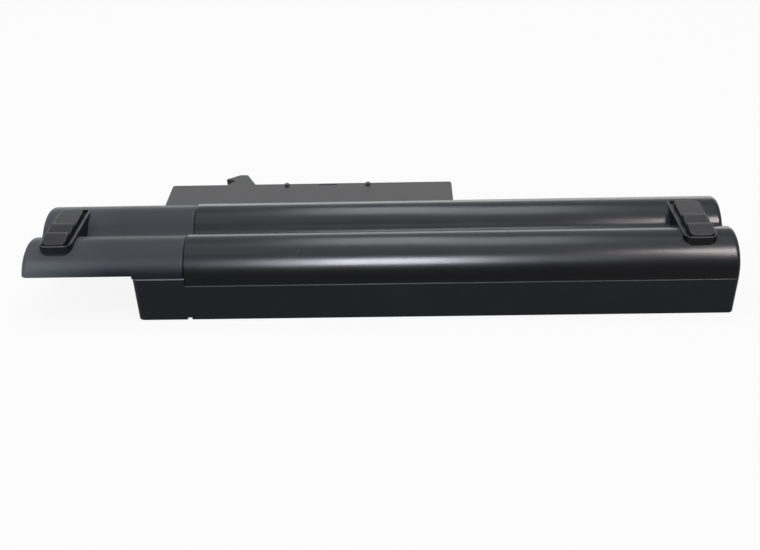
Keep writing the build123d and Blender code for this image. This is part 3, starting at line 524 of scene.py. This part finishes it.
# White paper: matt, with just enough glow of its own to read as clean white
PAPER_GLOW = 0.9
paper = bpy.data.materials.new("white_paper_sweep")
paper.use_nodes = True
tree = paper.node_tree
tree.nodes.clear()
share = add_node(tree, "ShaderNodeMath", {"operation": "MULTIPLY"}, {
    0: seen_as_background(tree), 1: PAPER_GLOW})
matt = add_node(tree, "ShaderNodeBsdfDiffuse", inputs={"Color": linear("#f4f4f4")})
glow = add_node(tree, "ShaderNodeEmission", inputs={"Color": linear("#ffffff"), "Strength": 1.0})
mixed = add_node(tree, "ShaderNodeMixShader", inputs={
    0: share.outputs["Value"], 1: matt.outputs["BSDF"], 2: glow.outputs["Emission"]})
add_node(tree, "ShaderNodeOutputMaterial", inputs={"Surface": mixed.outputs["Shader"]})
floor_mesh.materials.append(paper)

# World: white to look at and in reflections, with only a weak fill of its own from all round
AMBIENT = 0.3
world = bpy.data.worlds.new("studio")
bpy.context.scene.world = world
world.use_nodes = True
tree = world.node_tree
tree.nodes.clear()
strength = add_node(tree, "ShaderNodeMapRange", inputs={
    "Value": seen_as_background(tree), "To Min": AMBIENT, "To Max": 1.0})
sky = add_node(tree, "ShaderNodeBackground", inputs={
    "Color": linear("#ffffff"), "Strength": strength.outputs["Result"]})
add_node(tree, "ShaderNodeOutputWorld", inputs={"Surface": sky.outputs["Background"]})


def softbox(name, at, aim, wide, high, radiance, colour="#ffffff", sheen_only=False):
    """A rectangular lamp in metres that faces a point, with the brightness of its face. One that is
    for sheen only shows in gloss and leaves the plain light level as it is."""
    lamp = bpy.data.lights.new(name, "AREA")
    lamp.shape = "RECTANGLE"
    lamp.size = wide
    lamp.size_y = high
    lamp.energy = radiance * math.pi * wide * high
    lamp.color = linear(colour)[:3]
    holder = bpy.data.objects.new(name, lamp)
    bpy.context.scene.collection.objects.link(holder)
    holder.location = at
    holder.rotation_euler = (Vector(aim) - Vector(at)).to_track_quat("-Z", "Y").to_euler()
    holder.visible_camera = False
    holder.visible_diffuse = not sheen_only


# Lamps: a broad one above and a weak cool one at the left light the battery. The others only
# shine in its gloss: streaks along the barrels, a glow at each end and a bright line on top.
BARRELS = (0.0, near_axis.y, near_axis.z)
RIGHT_END = (0.11, near_axis.y, near_axis.z)
LEFT_END = (-0.11, near_axis.y, near_axis.z)
softbox("ceiling_softbox", at=(0.0, 0.0, 1.1), aim=BARRELS, wide=1.2, high=1.0, radiance=2.0)
softbox("left_softbox", at=(-0.52, -0.16, 0.34), aim=LEFT_END, wide=0.3, high=0.25, radiance=1.2,
        colour="#e2ecff")
softbox("front_streak", at=(-0.010, -0.405, 0.283), aim=BARRELS, wide=0.115, high=0.16,
        radiance=122.0, colour="#f1f4ff", sheen_only=True)
softbox("front_card", at=(0.04, -0.405, 0.288), aim=BARRELS, wide=0.32, high=0.18,
        radiance=3.5, colour="#eef3ff", sheen_only=True)
softbox("left_streak", at=(-0.33, -0.34, 0.25), aim=LEFT_END, wide=0.14, high=0.20,
        radiance=36.0, colour="#e6efff", sheen_only=True)
softbox("right_streak", at=(0.305, -0.27, 0.335), aim=RIGHT_END, wide=0.14, high=0.19,
        radiance=78.0, colour="#fff4f0", sheen_only=True)
softbox("top_streak_left", at=(-0.012, 0.155, 0.38), aim=(-0.012, near_axis.y, near_axis.z),
        wide=0.10, high=0.24, radiance=13.0, sheen_only=True)
softbox("top_streak_right", at=(0.085, 0.095, 0.39), aim=(0.085, near_axis.y, near_axis.z),
        wide=0.10, high=0.24, radiance=10.0, sheen_only=True)
softbox("rim_card", at=(0.0, 0.62, 0.11), aim=(0.0, 0.0, 0.11), wide=1.0, high=0.22,
        radiance=2.5, sheen_only=True)

# Camera: at the photograph's own viewing angle, a little above and in front of the barrels,
# with its turns in radians.
CAMERA_AT = (0.00857, -0.30996, 0.19372)
PAN = -0.0284
TILT = 0.5744
ROLL = -0.0294
camera_data = bpy.data.cameras.new("camera")
camera_data.lens = 45.99
camera_data.sensor_width = 36.0
camera = bpy.data.objects.new("camera", camera_data)
bpy.context.scene.collection.objects.link(camera)
bpy.context.scene.camera = camera
ahead = Vector((math.sin(PAN) * math.cos(TILT), math.cos(PAN) * math.cos(TILT), -math.sin(TILT)))
level = Vector((math.cos(PAN), -math.sin(PAN), 0.0))
above = level.cross(ahead)
right = math.cos(ROLL) * level + math.sin(ROLL) * above
up = math.cos(ROLL) * above - math.sin(ROLL) * level
turn = Matrix((right, up, -ahead)).transposed()
camera.matrix_world = Matrix.Translation(CAMERA_AT) @ turn.to_4x4()
bpy.context.scene.view_settings.view_transform = "Standard"
